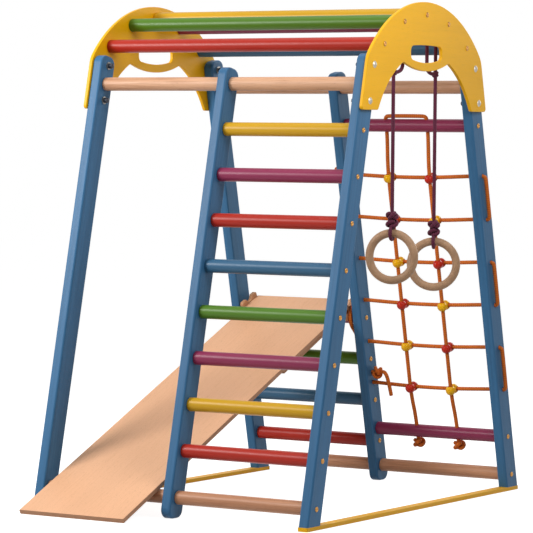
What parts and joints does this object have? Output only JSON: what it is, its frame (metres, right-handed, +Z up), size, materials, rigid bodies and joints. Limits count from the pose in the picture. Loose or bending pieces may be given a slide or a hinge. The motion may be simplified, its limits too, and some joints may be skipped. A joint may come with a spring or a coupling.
{
  "type": "toddler climbing gym with slide",
  "caption": "Indoor wooden A-frame climbing gym with a slide board, rung ladder, rope net, overhead monkey bars, arched end panels and hanging gym rings.",
  "frame": {"origin": "on the floor, under the middle of the stand and slide together", "axes": "+X along the bars towards the ladder end, -Y towards the foot of the slide, +Z up"},
  "size_m": [0.8999, 1.222, 1.2999],
  "materials": {
    "bar_beech": "clear lacquered beech",
    "bar_blue": "dark blue gloss lacquer",
    "bar_green": "green gloss lacquer",
    "bar_purple": "purple gloss lacquer",
    "bar_red": "red gloss lacquer",
    "bar_yellow": "yellow gloss lacquer",
    "board_beech": "clear lacquered beech plywood",
    "bolt_steel": "zinc-plated domed heads",
    "nut_dark": "black oxide cap nuts",
    "panel_yellow": "yellow lacquered plywood",
    "plastic_red": "gloss moulded",
    "plastic_yellow": "gloss moulded",
    "post_blue": "blue stain under clear satin lacquer",
    "ring_wood": "clear lacquered hardwood",
    "rope_orange": "braided cord",
    "rope_plum": "braided cord",
    "screw_bronze": "bronze-coated steel screws",
    "stud_steel": "plain steel studs"
  },
  "bodies": {
    "stand": {"back_rung_1": "bar_red", "back_rung_2": "bar_blue", "back_rung_3": "bar_green", "back_rung_4": "bar_purple", "bottom_bar_back_left": "bar_beech", "bottom_bar_back_right": "bar_beech", "bottom_bar_front_left": "bar_beech", "bottom_bar_front_right": "bar_beech", "cap_nuts": "nut_dark", "carriage_bolts": "bolt_steel", "end_panel_left": "panel_yellow", "end_panel_right": "panel_yellow", "joining_studs": "stud_steel", "ladder_rung_1": "bar_red", "ladder_rung_2": "bar_yellow", "ladder_rung_3": "bar_purple", "ladder_rung_4": "bar_green", "ladder_rung_5": "bar_blue", "ladder_rung_6": "bar_red", "ladder_rung_7": "bar_purple", "ladder_rung_8": "bar_yellow", "leg_back_left": "post_blue", "leg_back_right": "post_blue", "leg_front_left": "post_blue", "leg_front_right": "post_blue", "monkey_bar_1": "bar_red", "monkey_bar_2": "bar_green", "monkey_bar_3": "bar_yellow", "monkey_bar_4": "bar_purple", "monkey_bar_5": "bar_blue", "net_bar_high": "bar_purple", "net_bar_low": "bar_purple", "net_connectors_red": "plastic_red", "net_connectors_yellow": "plastic_yellow", "net_rope_across": "rope_orange", "net_rope_upright": "rope_orange", "panel_screws": "screw_bronze", "post_back_middle": "post_blue", "post_front_middle": "post_blue", "rung_screws": "screw_bronze", "runner_left": "panel_yellow", "runner_right": "panel_yellow", "runner_screws": "screw_bronze", "top_bar_back_left": "bar_beech", "top_bar_back_right": "bar_beech", "top_bar_front_left": "bar_beech", "top_bar_front_right": "bar_beech"},
    "slide": {"slide_batten_left": "board_beech", "slide_batten_right": "board_beech", "slide_board": "board_beech", "slide_hook_left": "board_beech", "slide_hook_right": "board_beech", "slide_screws": "screw_bronze"},
    "front_rope": {"ring_rope_front": "rope_plum"},
    "front_ring": {"gym_ring_front": "ring_wood"},
    "back_rope": {"ring_rope_back": "rope_plum"},
    "back_ring": {"gym_ring_back": "ring_wood"}
  },
  "joints": [
    {"name": "slide_lift", "type": "hinge", "parent": "stand", "child": "slide", "pos_m": [-0.20275, 0.47728, 0.45749], "axis": [-1, 0, 0], "range_deg": [0, 30]},
    {"name": "front_rope_swing", "type": "hinge", "parent": "stand", "child": "front_rope", "pos_m": [0.404, -0.05244, 1.24699], "axis": [1, 0, 0], "range_deg": [-11, 8]},
    {"name": "front_ring_swing", "type": "hinge", "parent": "front_rope", "child": "front_ring", "pos_m": [0.404, -0.07534, 0.7135], "axis": [0.9816, 0.1908, 0], "range_deg": [-35, 35]},
    {"name": "back_rope_swing", "type": "hinge", "parent": "stand", "child": "back_rope", "pos_m": [0.372, 0.17553, 1.24699], "axis": [1, 0, 0], "range_deg": [-8, 11]},
    {"name": "back_ring_swing", "type": "hinge", "parent": "back_rope", "child": "back_ring", "pos_m": [0.372, 0.19843, 0.6845], "axis": [0.9135, 0.4067, 0], "range_deg": [-35, 35]}
  ]
}
